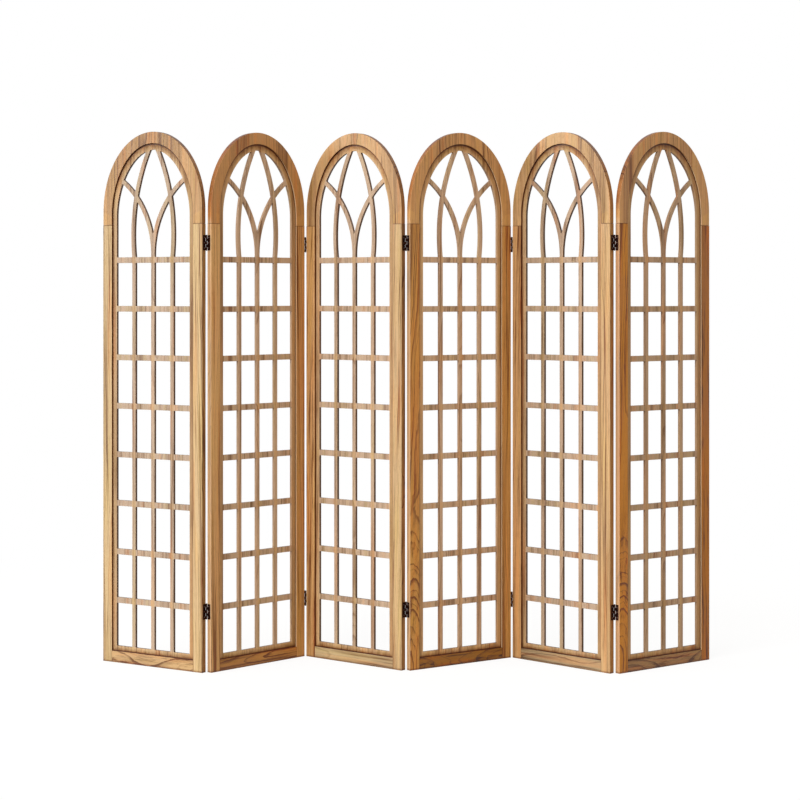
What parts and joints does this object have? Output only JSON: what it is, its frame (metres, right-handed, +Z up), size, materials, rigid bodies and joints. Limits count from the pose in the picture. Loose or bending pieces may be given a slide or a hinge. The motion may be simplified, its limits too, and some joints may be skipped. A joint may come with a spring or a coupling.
{
  "type": "folding screen",
  "caption": "Free-standing zigzag folding screen of hinged, arched wooden panels, each a grooved frame round a pierced lattice with crossing curved bars in its arch.",
  "frame": {"origin": "middle of the floor under the screen as it stands in the picture", "axes": "+X along the screen to the viewer's right, -Y towards the viewer, +Z up"},
  "size_m": [1.9602, 0.3186, 1.7],
  "materials": {
    "stile_wood": "satin clear-coated honey timber, upright grain",
    "head_wood": "satin clear-coated honey timber, glued up from upright strips",
    "rail_wood": "satin clear-coated honey timber, level grain",
    "lattice_wood": "satin paler timber board, upright grain",
    "hinge_metal": "dark bronze finish on steel, slightly glossy",
    "pin_metal": "dark steel, worn brighter on the ends"
  },
  "bodies": {
    "panel_1": {"panel_1_left_stile": "stile_wood", "panel_1_right_stile": "stile_wood", "panel_1_arch_head": "head_wood", "panel_1_bottom_rail": "rail_wood", "panel_1_lattice": "lattice_wood", "hinge_12_lower_left_leaf": "hinge_metal", "hinge_12_lower_pin": "pin_metal", "hinge_12_upper_left_leaf": "hinge_metal", "hinge_12_upper_pin": "pin_metal"},
    "panel_2": {"panel_2_left_stile": "stile_wood", "panel_2_right_stile": "stile_wood", "panel_2_arch_head": "head_wood", "panel_2_bottom_rail": "rail_wood", "panel_2_lattice": "lattice_wood", "hinge_12_lower_right_leaf": "hinge_metal", "hinge_12_upper_right_leaf": "hinge_metal", "hinge_23_lower_left_leaf": "hinge_metal", "hinge_23_lower_pin": "pin_metal", "hinge_23_upper_left_leaf": "hinge_metal", "hinge_23_upper_pin": "pin_metal"},
    "panel_3": {"panel_3_left_stile": "stile_wood", "panel_3_right_stile": "stile_wood", "panel_3_arch_head": "head_wood", "panel_3_bottom_rail": "rail_wood", "panel_3_lattice": "lattice_wood", "hinge_23_lower_right_leaf": "hinge_metal", "hinge_23_upper_right_leaf": "hinge_metal", "hinge_34_lower_left_leaf": "hinge_metal", "hinge_34_lower_pin": "pin_metal", "hinge_34_upper_left_leaf": "hinge_metal", "hinge_34_upper_pin": "pin_metal"},
    "panel_4": {"panel_4_left_stile": "stile_wood", "panel_4_right_stile": "stile_wood", "panel_4_arch_head": "head_wood", "panel_4_bottom_rail": "rail_wood", "panel_4_lattice": "lattice_wood", "hinge_34_lower_right_leaf": "hinge_metal", "hinge_34_upper_right_leaf": "hinge_metal", "hinge_45_lower_left_leaf": "hinge_metal", "hinge_45_lower_pin": "pin_metal", "hinge_45_upper_left_leaf": "hinge_metal", "hinge_45_upper_pin": "pin_metal"},
    "panel_5": {"panel_5_left_stile": "stile_wood", "panel_5_right_stile": "stile_wood", "panel_5_arch_head": "head_wood", "panel_5_bottom_rail": "rail_wood", "panel_5_lattice": "lattice_wood", "hinge_45_lower_right_leaf": "hinge_metal", "hinge_45_upper_right_leaf": "hinge_metal", "hinge_56_lower_left_leaf": "hinge_metal", "hinge_56_lower_pin": "pin_metal", "hinge_56_upper_left_leaf": "hinge_metal", "hinge_56_upper_pin": "pin_metal"},
    "panel_6": {"panel_6_left_stile": "stile_wood", "panel_6_right_stile": "stile_wood", "panel_6_arch_head": "head_wood", "panel_6_bottom_rail": "rail_wood", "panel_6_lattice": "lattice_wood", "hinge_56_lower_right_leaf": "hinge_metal", "hinge_56_upper_right_leaf": "hinge_metal"}
  },
  "joints": [
    {"name": "fold_12", "type": "hinge", "parent": "panel_2", "child": "panel_1", "pos_m": [-0.6278, -0.12975, 0.19], "axis": [0, 0, -1], "range_deg": [-77.8, 102.2]},
    {"name": "fold_23", "type": "hinge", "parent": "panel_3", "child": "panel_2", "pos_m": [-0.33089, 0.14432, 0.19], "axis": [0, 0, 1], "range_deg": [-85, 95]},
    {"name": "fold_34", "type": "hinge", "parent": "panel_3", "child": "panel_4", "pos_m": [-0.00279, -0.09152, 0.19], "axis": [0, 0, 1], "range_deg": [-73.7, 106.3]},
    {"name": "fold_45", "type": "hinge", "parent": "panel_4", "child": "panel_5", "pos_m": [0.34207, 0.11905, 0.19], "axis": [0, 0, -1], "range_deg": [-78.6, 101.4]},
    {"name": "fold_56", "type": "hinge", "parent": "panel_5", "child": "panel_6", "pos_m": [0.64883, -0.14395, 0.19], "axis": [0, 0, 1], "range_deg": [-81.4, 98.6]}
  ]
}
